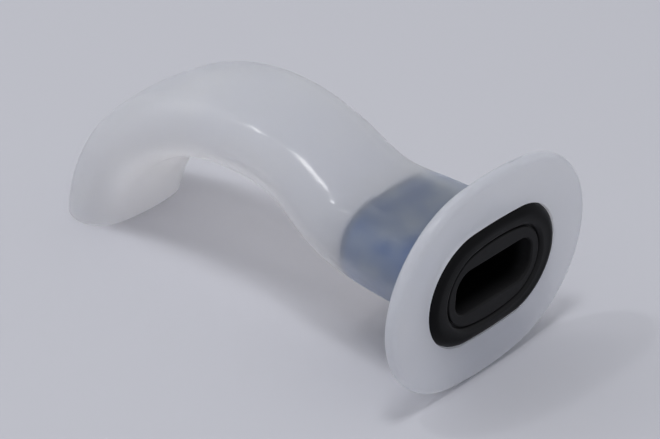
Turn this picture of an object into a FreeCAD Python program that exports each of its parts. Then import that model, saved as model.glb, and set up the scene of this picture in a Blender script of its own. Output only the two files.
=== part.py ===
"""Oropharyngeal airway of 60 mm nominal length.

Two moulded pieces: a hollow curved body with an oval flange, and a stiff
bite block that is pressed into the straight end of the body.

The part lies as it rests on a table, concave side down, on the bottom edge
of the flange and the rim of the tip.  +X runs from the tip to the flange,
+Y is across, +Z is up.  The origin is on the table, in the middle of the
part's length and width.  All lengths are in millimetres.
"""
import FreeCAD
import Part
import math
import os

V = FreeCAD.Vector

# Flange
flange_half_width = 16.0
flange_half_height = 12.6
flange_crown = 0.25            # bulge of the long sides past the end arcs
flange_thickness = 1.6
flange_edge_radius = 0.75
root_fillet = 1.2              # between the flange's back and the body

# Body, outside half sizes of its oval section
bite_half_width = 9.0
bite_half_height = 5.0
bite_crown = 0.15
curve_half_width = 7.55
curve_half_height = 4.3
curve_crown = 0.3
tip_half_width = 7.65
arch_swell = 0.5               # extra half width in the middle of the curve
body_wall = 1.3
taper_start = 7.7              # distances along the centreline
taper_end = 26.0
tip_bevel = 8.5                # degrees that the end face leans
tip_edge_radius = 0.45

# Centreline: a straight stretch, one bend up and three bends down
bite_length = 13.7             # from the middle of the flange's thickness
rise_radius = 13.4
rise_turn = 31.5
crest_radius = 17.9
crest_turn = 19.1
arch_radius = 23.8
arch_turn = 57.2
hook_radius = 22.3
hook_turn = 38.6

# Bite block
rim_half_width = 10.4
rim_half_height = 7.0
rim_crown = 0.1
rim_seat = 0.9                 # depth of the rim's seat in the flange
bead_rise = 0.45               # crest of the bead above the flange's face
bead_outer_radius = 1.1
bead_inner_radius = 0.5
groove_half_width = 7.7
groove_half_height = 5.0
groove_crown = 0.3
groove_width = 0.2
groove_depth = 0.1             # below the flange's face
land_rise = 0.25               # above the flange's face
land_edge_radius = 0.12
slot_half_width = 6.3
slot_half_height = 2.7
slot_corner = 2.1
slot_mouth_radius = 0.25
block_clearance = 0.05         # round the sleeve and the rim

# Spacing of the body's sections, how far a cutter runs past a face, and
# how far an edge may lie from where it is looked for
station_spacing = 3.6
cutter_overrun = 2.0
plane_tolerance = 0.001
size_tolerance = 0.3

ALONG = V(1, 0, 0)
ACROSS = V(0, 1, 0)
UP = V(0, 0, 1)
face_x = flange_thickness / 2
seat_x = face_x - rim_seat


def smooth(t):
    """Ease from 0 to 1 with a level start and end."""
    t = min(max(t, 0.0), 1.0)
    return t * t * (3.0 - 2.0 * t)


def bends():
    """Centreline pieces as pairs of length and signed curvature."""
    turns = [(rise_radius, rise_turn), (crest_radius, -crest_turn),
             (arch_radius, -arch_turn), (hook_radius, -hook_turn)]
    pieces = [(bite_length, 0.0)]
    for radius, turn in turns:
        angle = math.radians(turn)
        pieces.append((radius * abs(angle), math.copysign(1.0 / radius, angle)))
    return pieces


centreline_length = sum(length for length, curvature in bends())


def centreline(distance):
    """Point, heading and upward normal at a distance behind the flange."""
    x, z, heading = 0.0, 0.0, 0.0
    left = distance
    for length, curvature in bends():
        step = min(left, length)
        left -= step
        if curvature:
            turned = heading + curvature * step
            x -= (math.sin(turned) - math.sin(heading)) / curvature
            z += (math.cos(heading) - math.cos(turned)) / curvature
            heading = turned
        else:
            x -= step
    along = V(-math.cos(heading), 0, math.sin(heading))
    normal = V(math.sin(heading), 0, math.cos(heading))
    return V(x, 0, z) + along * left, along, normal


def section_size(distance):
    """Outside half width, half height and crown of the body at a distance."""
    narrowing = smooth((distance - taper_start) / (taper_end - taper_start))
    run = (distance - taper_end) / (centreline_length - taper_end)
    run = min(max(run, 0.0), 1.0)
    width = bite_half_width + (curve_half_width - bite_half_width) * narrowing
    width += (tip_half_width - curve_half_width) * run + arch_swell * 4.0 * run * (1.0 - run)
    height = bite_half_height + (curve_half_height - bite_half_height) * narrowing
    crown = bite_crown + (curve_crown - bite_crown) * narrowing
    return width, height, crown


def oval(centre, up, half_width, half_height, crown):
    """Closed oval of two broad arcs and two end arcs that meet tangent."""
    end_radius = half_height - crown
    spread = half_width ** 2 + half_height ** 2 - 2 * half_width * end_radius
    broad_radius = spread / (2 * crown)
    turn = math.atan2(half_width - end_radius, broad_radius - half_height)
    join_y = broad_radius * math.sin(turn)
    join_z = broad_radius * math.cos(turn) - (broad_radius - half_height)

    def at(y, z):
        return centre + ACROSS * y + up * z

    joins = [at(join_y, join_z), at(-join_y, join_z), at(-join_y, -join_z), at(join_y, -join_z)]
    middles = [at(0, half_height), at(-half_width, 0), at(0, -half_height), at(half_width, 0)]
    arcs = [Part.Arc(joins[i], middles[i], joins[(i + 1) % 4]).toShape() for i in range(4)]
    return Part.Wire(arcs)


def prism(outline, start_x, end_x):
    """Straight solid between two planes across the bite axis."""
    wire = oval(V(start_x, 0, 0), UP, *outline)
    return Part.Face(wire).extrude(V(end_x - start_x, 0, 0))


def tube(first, last, inset, lean=0.0):
    """Loft along the centreline, a distance inset inside the body's outside."""
    count = max(math.ceil((last - first) / station_spacing), 2)
    wires = []
    for i in range(count + 1):
        distance = first + (last - first) * i / count
        centre, along, normal = centreline(distance)
        if i == count and lean:
            angle = math.radians(lean)
            normal = normal * math.cos(angle) + along * math.sin(angle)
        width, height, crown = section_size(distance)
        wires.append(oval(centre, normal, width - inset, height - inset, crown))
    return Part.makeLoft(wires, True, False)


def edges_on(shape, point, normal, half_width, half_height):
    """Edges in a plane whose ends lie within half sizes of a point."""
    up = normal.cross(ACROSS)
    found = []
    for edge in shape.Edges:
        ends = [vertex.Point - point for vertex in edge.Vertexes]
        flat = all(abs(end.dot(normal)) < plane_tolerance for end in ends)
        narrow = all(abs(end.y) < half_width + size_tolerance for end in ends)
        low = all(abs(end.dot(up)) < half_height + size_tolerance for end in ends)
        if flat and narrow and low:
            found.append(edge)
    return found


def flange_plate():
    """Oval plate with a rounded edge."""
    plate = prism((flange_half_width, flange_half_height, flange_crown), -face_x, face_x)
    rims = edges_on(plate, V(face_x, 0, 0), ALONG, flange_half_width, flange_half_height)
    rims += edges_on(plate, V(-face_x, 0, 0), ALONG, flange_half_width, flange_half_height)
    return plate.makeFillet(flange_edge_radius, rims)


def tip_plane():
    """Middle, outward normal and upward direction of the end face."""
    tip, along, normal = centreline(centreline_length)
    lean = math.radians(tip_bevel)
    facing = along * math.cos(lean) - normal * math.sin(lean)
    upward = normal * math.cos(lean) + along * math.sin(lean)
    return tip, facing, upward


def airway_body():
    """Flange and curved tube in one piece, with the lumen and the rim's seat."""
    body = flange_plate().fuse(tube(0.0, centreline_length, 0.0, tip_bevel)).removeSplitter()
    root = edges_on(body, V(-face_x, 0, 0), ALONG, bite_half_width, bite_half_height)
    body = body.makeFillet(root_fillet, root)
    lumen = tube(-cutter_overrun, centreline_length + cutter_overrun, body_wall)
    seat_outline = (rim_half_width + block_clearance, rim_half_height + block_clearance, rim_crown)
    body = body.cut(lumen).cut(prism(seat_outline, seat_x, face_x + cutter_overrun))
    tip, facing, upward = tip_plane()
    rims = edges_on(body, tip, facing, tip_half_width, curve_half_height)
    return body.makeFillet(tip_edge_radius, rims)


def rim_plate():
    """Rim with a rounded bead round a sunk middle."""
    crest_x = face_x + bead_rise
    plate = prism((rim_half_width, rim_half_height, rim_crown), seat_x, crest_x)
    crest = edges_on(plate, V(crest_x, 0, 0), ALONG, rim_half_width, rim_half_height)
    plate = plate.makeFillet(bead_outer_radius, crest)
    groove_outline = (groove_half_width, groove_half_height, groove_crown)
    plate = plate.cut(prism(groove_outline, face_x - groove_depth, crest_x + cutter_overrun))
    crest = edges_on(plate, V(crest_x, 0, 0), ALONG, groove_half_width, groove_half_height)
    return plate.makeFillet(bead_inner_radius, crest)


def slot_prism(start_x, end_x):
    """Rounded rectangle through the bite block."""
    flat_y = slot_half_width - slot_corner
    flat_z = slot_half_height - slot_corner
    corner = []
    for angle in (0, 45, 90):
        turn = math.radians(angle)
        corner.append((flat_y + slot_corner * math.cos(turn), flat_z + slot_corner * math.sin(turn)))
    rounds = [corner, [(-y, z) for y, z in reversed(corner)], [(-y, -z) for y, z in corner],
              [(y, -z) for y, z in reversed(corner)]]
    edges = []
    for index, points in enumerate(rounds):
        start, middle, end = [V(start_x, y, z) for y, z in points]
        next_y, next_z = rounds[(index + 1) % 4][0]
        edges.append(Part.Arc(start, middle, end).toShape())
        edges.append(Part.makeLine(end, V(start_x, next_y, next_z)))
    return Part.Face(Part.Wire(edges)).extrude(V(end_x - start_x, 0, 0))


def bite_block():
    """Rim, flat land and sleeve with one slot through them."""
    land_x = face_x + land_rise
    land_width = groove_half_width - groove_width
    land_height = groove_half_height - groove_width
    land = prism((land_width, land_height, groove_crown), seat_x, land_x)
    land = land.makeFillet(land_edge_radius, edges_on(land, V(land_x, 0, 0), ALONG, land_width, land_height))
    sleeve = tube(-seat_x, bite_length, body_wall + block_clearance)
    block = rim_plate().fuse([land, sleeve]).removeSplitter()
    block = block.cut(slot_prism(-bite_length - cutter_overrun, land_x + cutter_overrun))
    mouth = edges_on(block, V(land_x, 0, 0), ALONG, slot_half_width, slot_half_height)
    return block.makeFillet(slot_mouth_radius, mouth)


def resting_tilt():
    """Turn about +Y at which the flange's edge and the tip stand level."""
    flange_foot = V(face_x - flange_edge_radius, 0, flange_edge_radius - flange_half_height)
    tip, facing, upward = tip_plane()
    tilts = []
    for side in (-1, 1):
        foot = tip + upward * side * (curve_half_height - tip_edge_radius) - facing * tip_edge_radius
        gap = flange_foot - foot
        lean = math.asin((flange_edge_radius - tip_edge_radius) / gap.Length)
        tilts.append(math.atan2(gap.z, gap.x) - lean)
    return max(tilts)


def rest(shapes):
    """Turn the pieces to their resting pose, with the origin under the middle."""
    tilt = resting_tilt()
    for shape in shapes:
        shape.rotate(V(0, 0, 0), ACROSS, math.degrees(tilt))
    box = shapes[0].optimalBoundingBox(False)
    box.add(shapes[1].optimalBoundingBox(False))
    shift = V(-(box.XMin + box.XMax) / 2, 0, -box.ZMin)
    for shape in shapes:
        shape.translate(shift)
    return tilt, shift


def main():
    os.makedirs("parts", exist_ok=True)
    pieces = {"airway_body": airway_body(), "bite_block": bite_block()}
    tilt, shift = rest(list(pieces.values()))
    for name, shape in pieces.items():
        shape.exportStep("parts/" + name + ".step")
        print(name, "solids", len(shape.Solids), "valid", shape.isValid(), "volume", round(shape.Volume, 2))
    print("tilt", round(math.degrees(tilt), 3), "shift", [round(c, 4) for c in shift])


main()
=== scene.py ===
"""Looks of the oropharyngeal airway: milky polyethylene body, black bite block,
a pale floor, soft studio light and the camera at the photograph's angle.
Everything is in metres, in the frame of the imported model."""
import bpy
import math
from mathutils import Matrix, Vector

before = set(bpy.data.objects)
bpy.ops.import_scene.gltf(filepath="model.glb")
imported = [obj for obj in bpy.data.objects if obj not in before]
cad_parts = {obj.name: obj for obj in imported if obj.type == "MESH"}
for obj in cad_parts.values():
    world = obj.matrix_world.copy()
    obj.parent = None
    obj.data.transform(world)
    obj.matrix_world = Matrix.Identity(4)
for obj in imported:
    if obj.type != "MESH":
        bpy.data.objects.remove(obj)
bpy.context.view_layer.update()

# Camera, fitted to the outlines of both pieces in the photograph
camera_place = Vector((0.174554, -0.188657, 0.160065))
camera_right = Vector((0.7450986, 0.6669334, 0.0052803))
camera_up = Vector((-0.3437729, 0.3772550, 0.8599412))
camera_back = Vector((0.5715315, -0.6425562, 0.5103658))
focal_pixels = 2647.5
photo_width = 660
sensor_width = 36.0
clip_range = (0.01, 10.0)

# Light: each source with its share of the floor's brightness, and each lamp with the way
# it lies from the airway (azimuth from +X towards +Y and elevation, in degrees) and its side
sky_share = 0.545
lamps = {
    "front_lamp": {"azimuth": -50.0, "elevation": 75.5, "size": 0.20, "share": 0.32},
    "rear_lamp": {"azimuth": -136.0, "elevation": 64.0, "size": 0.08, "share": 0.095},
    "side_lamp": {"azimuth": -155.0, "elevation": 40.0, "size": 0.60, "share": 0.08},
}
lamp_distance = 1.0
middle = Vector((0.0, 0.0, 0.012))
floor_size = 4.0

# Colours, linear
floor_colour = (0.503, 0.508, 0.556)
sky_colour = (0.97, 0.98, 1.0)
bead_colour = (0.0068, 0.0068, 0.0075)
# The block's face is painted paler than its bead, which is the same plastic: painted light.
painted_light_face_colour = (0.0170, 0.0170, 0.0181)
# The block deeper in than the slot's mouth is painted darker: painted shade.
painted_slot_shade = (0.0025, 0.0025, 0.0028)
no_colour = (0.0, 0.0, 0.0)

# Milky plastic, zone by zone along X: the free tube, the part over the black sleeve and the
# flange. Of the light that meets a face one share spreads to its other side and one passes
# almost straight on. The rest scatters back, in a colour between a blue and a grey one.
# lamp_colours is what a face leaves of the light on its way to a shadowed place.
zone_places = {"start": 0.0147, "sleeve": 0.0172, "sleeve_end": 0.0262, "flange": 0.0285}
spreading_shares = {"tube": 0.33, "sleeve": 0.10, "flange": 0.33}
passing_shares = {"tube": 0.53, "sleeve": 0.58, "flange": 0.39}
spreading_colours = {
    "tube": (0.963, 0.955, 0.957),
    "sleeve": (1.0, 0.98, 0.94),
    "flange": (0.855, 0.845, 0.84),
}
passing_colours = {
    "tube": (0.985, 0.975, 0.96),
    "sleeve": (1.0, 0.98, 0.945),
    "flange": (0.92, 0.91, 0.89),
}
lamp_colours = {
    "tube": (0.60, 0.59, 0.58),
    "sleeve": (0.57, 0.56, 0.55),
    "flange": (0.40, 0.40, 0.40),
}
blue_scatters = {
    "tube": (0.58, 0.64, 0.78),
    "sleeve": (0.31, 0.44, 0.80),
    "flange": (0.81, 0.85, 0.96),
}
grey_scatters = {
    "tube": (0.67, 0.71, 0.79),
    "sleeve": (0.58, 0.66, 0.80),
    "flange": (0.81, 0.85, 0.96),
}
scatter_roughness = 0.6
passing_roughness = 0.30
passing_ior = 1.45
coat_weights = {"tube": 0.4, "sleeve": 0.06, "flange": 0.4}
coat_roughness = 0.14

# Between these heights the wall grows clearer, by these amounts, so the black sleeve shows darker
# through the top of the wall: painted shade
painted_shade_heights = (0.0158, 0.0184)
top_painted_shade = {"tube": 0.0, "sleeve": 0.13, "flange": 0.0}

# Ovals round the mouth's own direction, which dips mouth_tilt degrees below +X. Reach is half
# their size, along that direction far past the part, and edge is the soft share of it.
# One lies inside the wall, round the bore, and one round the matt face of the black block, inside
# which the block is painted paler than its bead as painted light.
mouth_tilt = 3.04
bore_oval = {"middle": (0.0230, 0.0, 0.01291), "reach": (1.0, 0.0085, 0.00448), "edge": 0.015}
painted_light_face_oval = {"middle": (0.0300, 0.0, 0.01254), "reach": (1.0, 0.0090, 0.0062), "edge": 0.07}

# Places along X between which the black sleeve starts, and between which the black block is
# painted darker deeper in, a painted shade in the slot and over the sleeve
sleeve_start = (0.0147, 0.0156)
painted_shade_depths = (0.0275, 0.0290)

# Black plastic and floor: how much they mirror, and how rough they are at least and at most
black_mirror = 0.04
black_ior = 1.5
black_roughness = (0.3, 0.42)
paper_mirror = 0.1
paper_roughness = (0.8, 0.9)

# Noise, with its scale in features per metre
clouds = {"scale": 170.0, "detail": 2.0}
cloud_depth = 0.03             # how much they change the share that passes
black_patches = {"scale": 900.0, "detail": 4.0}
paper_patches = {"scale": 60.0, "detail": 3.0}
noise_range = (0.3, 0.7)       # where noise mostly lies

# Relief: noise that raises a face by up to its depth, in metres
skin_waves = {"scale": 420.0, "detail": 3.0, "strength": 0.45, "depth": 0.00006}
skin_grain = {"scale": 3200.0, "detail": 2.0, "strength": 0.35, "depth": 0.000012}
black_grain = {"scale": 2600.0, "detail": 4.0, "roughness": 0.6, "strength": 0.2, "depth": 0.00003}
paper_tooth = {"scale": 1500.0, "detail": 3.0, "strength": 0.15, "depth": 0.00002}

# Sockets of the Mix node that its kind for colours uses, since all its kinds share their names
mix_factor, mix_low, mix_high, mix_result = 0, 6, 7, 2


def new_material(name):
    """Empty node material, its tree and its output node."""
    material = bpy.data.materials.new(name)
    material.use_nodes = True
    material.node_tree.nodes.clear()
    output = material.node_tree.nodes.new("ShaderNodeOutputMaterial")
    return material, material.node_tree, output


def along(tree, axis):
    """Place along one of the piece's own axes."""
    place = tree.nodes.new("ShaderNodeTexCoord")
    split = tree.nodes.new("ShaderNodeSeparateXYZ")
    tree.links.new(place.outputs["Object"], split.inputs["Vector"])
    return split.outputs[axis]


def ramp(tree, value, ends, low=0.0, high=1.0, smooth=False):
    """Number that goes from low to high while a value goes from one end to the other."""
    node = tree.nodes.new("ShaderNodeMapRange")
    node.interpolation_type = "SMOOTHSTEP" if smooth else "LINEAR"
    node.inputs["From Min"].default_value = ends[0]
    node.inputs["From Max"].default_value = ends[1]
    node.inputs["To Min"].default_value = low
    node.inputs["To Max"].default_value = high
    tree.links.new(value, node.inputs["Value"])
    return node.outputs["Result"]


def rise(tree, axis, places):
    """Zero before the first of two places along an axis, one past the second, smooth between."""
    return ramp(tree, along(tree, axis), places, smooth=True)


def inside(tree, middle, reach, edge):
    """One inside an oval round the mouth's own direction, zero outside, with a soft edge."""
    place = tree.nodes.new("ShaderNodeTexCoord")
    turned = tree.nodes.new("ShaderNodeMapping")
    turned.vector_type = "TEXTURE"
    turned.inputs["Location"].default_value = middle
    turned.inputs["Rotation"].default_value = (0.0, math.radians(mouth_tilt), 0.0)
    turned.inputs["Scale"].default_value = reach
    across = tree.nodes.new("ShaderNodeVectorMath")
    across.operation = "LENGTH"
    tree.links.new(place.outputs["Object"], turned.inputs["Vector"])
    tree.links.new(turned.outputs["Vector"], across.inputs["Vector"])
    return ramp(tree, across.outputs["Value"], (1.0 + edge, 1.0 - edge), smooth=True)


def noise(tree, scale, detail, roughness=0.5):
    """Noise over the piece's own coordinates."""
    place = tree.nodes.new("ShaderNodeTexCoord")
    node = tree.nodes.new("ShaderNodeTexNoise")
    node.inputs["Scale"].default_value = scale
    node.inputs["Detail"].default_value = detail
    node.inputs["Roughness"].default_value = roughness
    tree.links.new(place.outputs["Object"], node.inputs["Vector"])
    return node.outputs["Fac"]


def relief(tree, strength, depth, **pattern):
    """Normal of a face that is raised by noise."""
    height = noise(tree, **pattern)
    node = tree.nodes.new("ShaderNodeBump")
    node.inputs["Strength"].default_value = strength
    node.inputs["Distance"].default_value = depth
    tree.links.new(height, node.inputs["Height"])
    return node.outputs["Normal"]


def calculated(tree, operation, first, second):
    """Two numbers put together by an operation, such as ADD."""
    node = tree.nodes.new("ShaderNodeMath")
    node.operation = operation
    tree.links.new(first, node.inputs[0])
    tree.links.new(second, node.inputs[1])
    return node.outputs["Value"]


def mixed(tree, factor, low, high):
    """Colour between two others, each given as a colour or as a socket."""
    node = tree.nodes.new("ShaderNodeMix")
    node.data_type = "RGBA"
    tree.links.new(factor, node.inputs[mix_factor])
    for colour, socket in ((low, node.inputs[mix_low]), (high, node.inputs[mix_high])):
        if isinstance(colour, tuple):
            socket.default_value = colour + (1.0,)
        else:
            tree.links.new(colour, socket)
    return node.outputs[mix_result]


def principled(tree, settings):
    """Principled shader with some of its sockets set."""
    node = tree.nodes.new("ShaderNodeBsdfPrincipled")
    for name, value in settings.items():
        if isinstance(value, tuple):
            value = value + (1.0,)
        node.inputs[name].default_value = value
    return node


def blend(tree, factor, first, second):
    """Mix of two shaders."""
    node = tree.nodes.new("ShaderNodeMixShader")
    tree.links.new(factor, node.inputs["Fac"])
    tree.links.new(first.outputs[0], node.inputs[1])
    tree.links.new(second.outputs[0], node.inputs[2])
    return node


def by_zone(tree, values):
    """Colour or number of the free tube, the part over the sleeve and the flange, merging."""
    start, end = zone_places["start"], zone_places["flange"]
    share = ramp(tree, along(tree, "X"), (start, end))
    node = tree.nodes.new("ShaderNodeValToRGB")
    node.color_ramp.interpolation = "EASE"
    stops = ((0.0, "tube"), ((zone_places["sleeve"] - start) / (end - start), "sleeve"),
             ((zone_places["sleeve_end"] - start) / (end - start), "sleeve"), (1.0, "flange"))
    while len(node.color_ramp.elements) < len(stops):
        node.color_ramp.elements.new(0.5)
    for element, (position, zone) in zip(node.color_ramp.elements, stops):
        value = values[zone]
        element.position = position
        element.color = (value if isinstance(value, tuple) else (value,) * 3) + (1.0,)
    tree.links.new(share, node.inputs["Fac"])
    return node.outputs["Color"]


def sleeve_touches(tree):
    """One on the bore's wall where the black sleeve fills it, zero elsewhere."""
    filled = inside(tree, **bore_oval)
    return calculated(tree, "MULTIPLY", filled, rise(tree, "X", sleeve_start))


def milky_skin(tree):
    """Soft waves of the moulding under a fine grain."""
    waves = relief(tree, **skin_waves)
    grain = relief(tree, **skin_grain)
    tree.links.new(waves, grain.node.inputs["Normal"])
    return grain


def clearness(tree, cloud):
    """Share that passes of the light that doesn't spread, by zone, by cloud and by height; the
    part by height is painted shade on the top of the wall over the sleeve.
    """
    shares = {zone: share / (1.0 - spreading_shares[zone])
              for zone, share in passing_shares.items()}
    clouded = calculated(tree, "ADD", by_zone(tree, shares),
                         ramp(tree, cloud, noise_range, cloud_depth, -cloud_depth))
    # Painted shade: the wall over the sleeve grows clearer towards its top, so it shows darker
    # there.
    more = calculated(tree, "MULTIPLY", rise(tree, "Z", painted_shade_heights),
                      by_zone(tree, top_painted_shade))
    return calculated(tree, "ADD", clouded, more)


def milky_plastic():
    """Most light passes or spreads inside the wall, and a little scatters back bluish."""
    material, tree, output = new_material("milky_polyethylene")
    scatter = principled(tree, {"Roughness": scatter_roughness, "Specular IOR Level": 0.0,
                                "Coat Roughness": coat_roughness})
    passing = principled(tree, {"Transmission Weight": 1.0, "Roughness": passing_roughness,
                                "IOR": passing_ior, "Specular Tint": no_colour,
                                "Coat Roughness": coat_roughness})
    skin = milky_skin(tree)
    for shader in (scatter, passing):
        tree.links.new(skin, shader.inputs["Coat Normal"])
        tree.links.new(by_zone(tree, coat_weights), shader.inputs["Coat Weight"])
    spreading = tree.nodes.new("ShaderNodeBsdfTranslucent")
    lamp_way = tree.nodes.new("ShaderNodeBsdfTransparent")
    cloud = noise(tree, **clouds)
    thin = ramp(tree, cloud, noise_range)
    scattered = mixed(tree, thin, by_zone(tree, blue_scatters), by_zone(tree, grey_scatters))
    touched = sleeve_touches(tree)
    for colour, socket in ((scattered, scatter.inputs["Base Color"]),
                           (by_zone(tree, passing_colours), passing.inputs["Base Color"]),
                           (by_zone(tree, spreading_colours), spreading.inputs["Color"])):
        tree.links.new(mixed(tree, touched, colour, bead_colour), socket)
    tree.links.new(by_zone(tree, lamp_colours), lamp_way.inputs["Color"])
    straight = blend(tree, clearness(tree, cloud), scatter, passing)
    whole = blend(tree, by_zone(tree, spreading_shares), straight, spreading)
    to_lamp = tree.nodes.new("ShaderNodeLightPath").outputs["Is Shadow Ray"]
    lit = blend(tree, to_lamp, whole, lamp_way)
    tree.links.new(lit.outputs["Shader"], output.inputs["Surface"])
    return material


def black_plastic():
    """Satin black moulding with a fine grain, its face painted paler than the bead as painted
    light and everything deeper in than the slot's mouth painted darker as painted shade.
    """
    material, tree, output = new_material("black_plastic")
    shader = principled(tree, {"Specular IOR Level": black_mirror, "IOR": black_ior})
    # Painted light: the face is painted paler than the bead, which is the same plastic.
    front = mixed(tree, inside(tree, **painted_light_face_oval), bead_colour, painted_light_face_colour)
    # Painted shade: deeper in than the slot's mouth the block is painted darker, in the slot and
    # over the sleeve.
    colour = mixed(tree, rise(tree, "X", painted_shade_depths), painted_slot_shade, front)
    tree.links.new(colour, shader.inputs["Base Color"])
    rough = ramp(tree, noise(tree, **black_patches), noise_range, *black_roughness)
    tree.links.new(rough, shader.inputs["Roughness"])
    tree.links.new(relief(tree, **black_grain), shader.inputs["Normal"])
    tree.links.new(shader.outputs["BSDF"], output.inputs["Surface"])
    return material


def paper():
    """Plain pale floor with a faint tooth."""
    material, tree, output = new_material("pale_floor")
    shader = principled(tree, {"Base Color": floor_colour, "Specular IOR Level": paper_mirror})
    rough = ramp(tree, noise(tree, **paper_patches), noise_range, *paper_roughness)
    tree.links.new(rough, shader.inputs["Roughness"])
    tree.links.new(relief(tree, **paper_tooth), shader.inputs["Normal"])
    tree.links.new(shader.outputs["BSDF"], output.inputs["Surface"])
    return material


def dress(node, material):
    """Give a CAD node its material on every slot."""
    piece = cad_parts[node]
    for slot in piece.material_slots:
        slot.material = material


def add_floor():
    """Level sheet that the airway lies on."""
    half = floor_size / 2
    corners = [(-half, -half, 0), (half, -half, 0), (half, half, 0), (-half, half, 0)]
    mesh = bpy.data.meshes.new("floor")
    mesh.from_pydata(corners, [], [(0, 1, 2, 3)])
    floor = bpy.data.objects.new("floor", mesh)
    bpy.context.scene.collection.objects.link(floor)
    floor.data.materials.append(paper())


def add_lamp(name, azimuth, elevation, size, share):
    """Square lamp that points at the airway and gives a share of the floor's light."""
    turn, lift = math.radians(azimuth), math.radians(elevation)
    level = math.cos(lift)
    away = Vector((math.cos(turn) * level, math.sin(turn) * level, math.sin(lift)))
    lamp = bpy.data.lights.new(name, "AREA")
    lamp.shape = "SQUARE"
    lamp.size = size
    lamp.energy = share * math.pi ** 2 * lamp_distance ** 2 / math.sin(lift)
    holder = bpy.data.objects.new(name, lamp)
    holder.location = middle + away * lamp_distance
    holder.rotation_mode = "QUATERNION"
    holder.rotation_quaternion = away.to_track_quat("Z", "Y")
    bpy.context.scene.collection.objects.link(holder)


def add_sky():
    """Even light from all round."""
    world = bpy.data.worlds.new("studio")
    world.use_nodes = True
    background = world.node_tree.nodes["Background"]
    background.inputs["Color"].default_value = sky_colour + (1.0,)
    background.inputs["Strength"].default_value = sky_share
    bpy.context.scene.world = world


def add_camera():
    """Camera of the photograph."""
    lens = bpy.data.cameras.new("camera")
    lens.sensor_width = sensor_width
    lens.lens = focal_pixels * sensor_width / photo_width
    lens.clip_start, lens.clip_end = clip_range
    camera = bpy.data.objects.new("camera", lens)
    turn = Matrix((camera_right, camera_up, camera_back)).transposed()
    camera.matrix_world = Matrix.Translation(camera_place) @ turn.to_4x4()
    bpy.context.scene.collection.objects.link(camera)
    bpy.context.scene.camera = camera


bpy.context.scene.view_settings.view_transform = "Standard"
dress("airway_body", milky_plastic())
dress("bite_block", black_plastic())
add_floor()
add_sky()
for lamp_name, settings in lamps.items():
    add_lamp(lamp_name, **settings)
add_camera()
